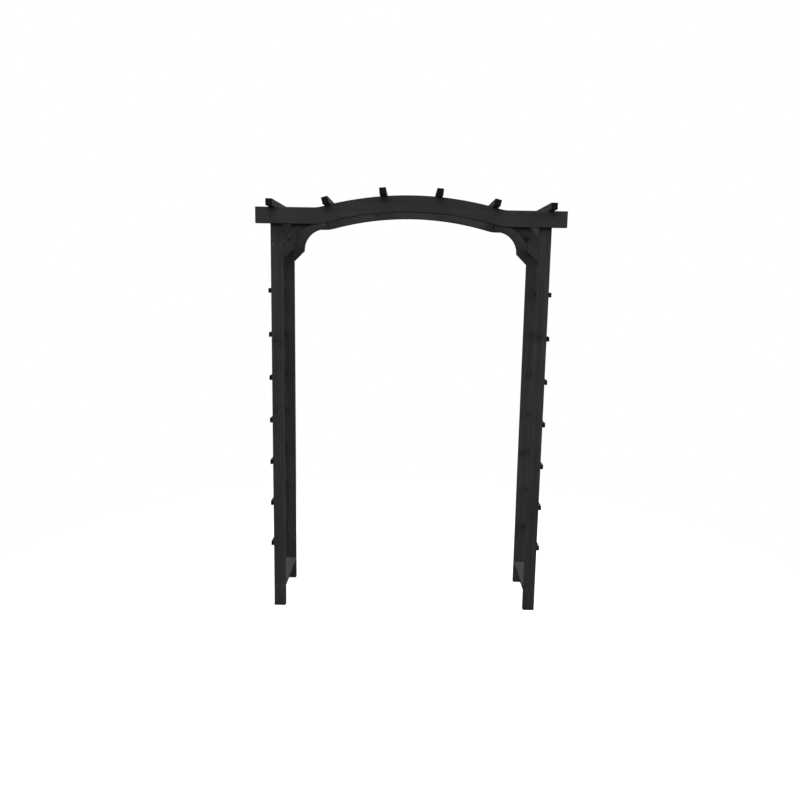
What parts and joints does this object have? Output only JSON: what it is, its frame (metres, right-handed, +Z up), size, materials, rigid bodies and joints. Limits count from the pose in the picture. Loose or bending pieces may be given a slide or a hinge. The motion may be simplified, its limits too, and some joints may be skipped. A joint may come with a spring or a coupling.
{
  "type": "garden arbor",
  "caption": "Free-standing timber garden arbor: ladder sides, gently arched front and back beams, corner braces and square rafters across the top, stained charcoal.",
  "frame": {"origin": "on the ground, in the middle of the four posts", "axes": "+Z up, X across the passage, -Y towards the front"},
  "size_m": [1.55, 0.62, 2.2014],
  "materials": {
    "post_wood": "charcoal stain, matt, straight grain upright",
    "beam_wood": "charcoal stain, matt, grain along the beam",
    "brace_wood": "charcoal stain, matt, grain at 45 degrees",
    "rung_wood": "charcoal stain, matt, grain front to back",
    "rafter_wood": "charcoal stain, matt, darker sawn ends",
    "screw_metal": "yellow zinc plate, dulled; the screw heads, which only the visual model shows"
  },
  "bodies": {
    "root": {"post_front_left": "post_wood", "post_front_right": "post_wood", "post_back_left": "post_wood", "post_back_right": "post_wood", "beam_front": "beam_wood", "beam_back": "beam_wood", "brace_front_left": "brace_wood", "brace_front_right": "brace_wood", "brace_back_left": "brace_wood", "brace_back_right": "brace_wood", "rail_low_left": "rung_wood", "rail_low_right": "rung_wood", "rail_top_left": "rung_wood", "rail_top_right": "rung_wood", "rung_left_1": "rung_wood", "rung_left_2": "rung_wood", "rung_left_3": "rung_wood", "rung_left_4": "rung_wood", "rung_left_5": "rung_wood", "rung_left_6": "rung_wood", "rung_left_7": "rung_wood", "rung_right_1": "rung_wood", "rung_right_2": "rung_wood", "rung_right_3": "rung_wood", "rung_right_4": "rung_wood", "rung_right_5": "rung_wood", "rung_right_6": "rung_wood", "rung_right_7": "rung_wood", "rafter_1": "rafter_wood", "rafter_2": "rafter_wood", "rafter_3": "rafter_wood", "rafter_4": "rafter_wood", "rafter_5": "rafter_wood", "rafter_6": "rafter_wood"}
  },
  "joints": []
}
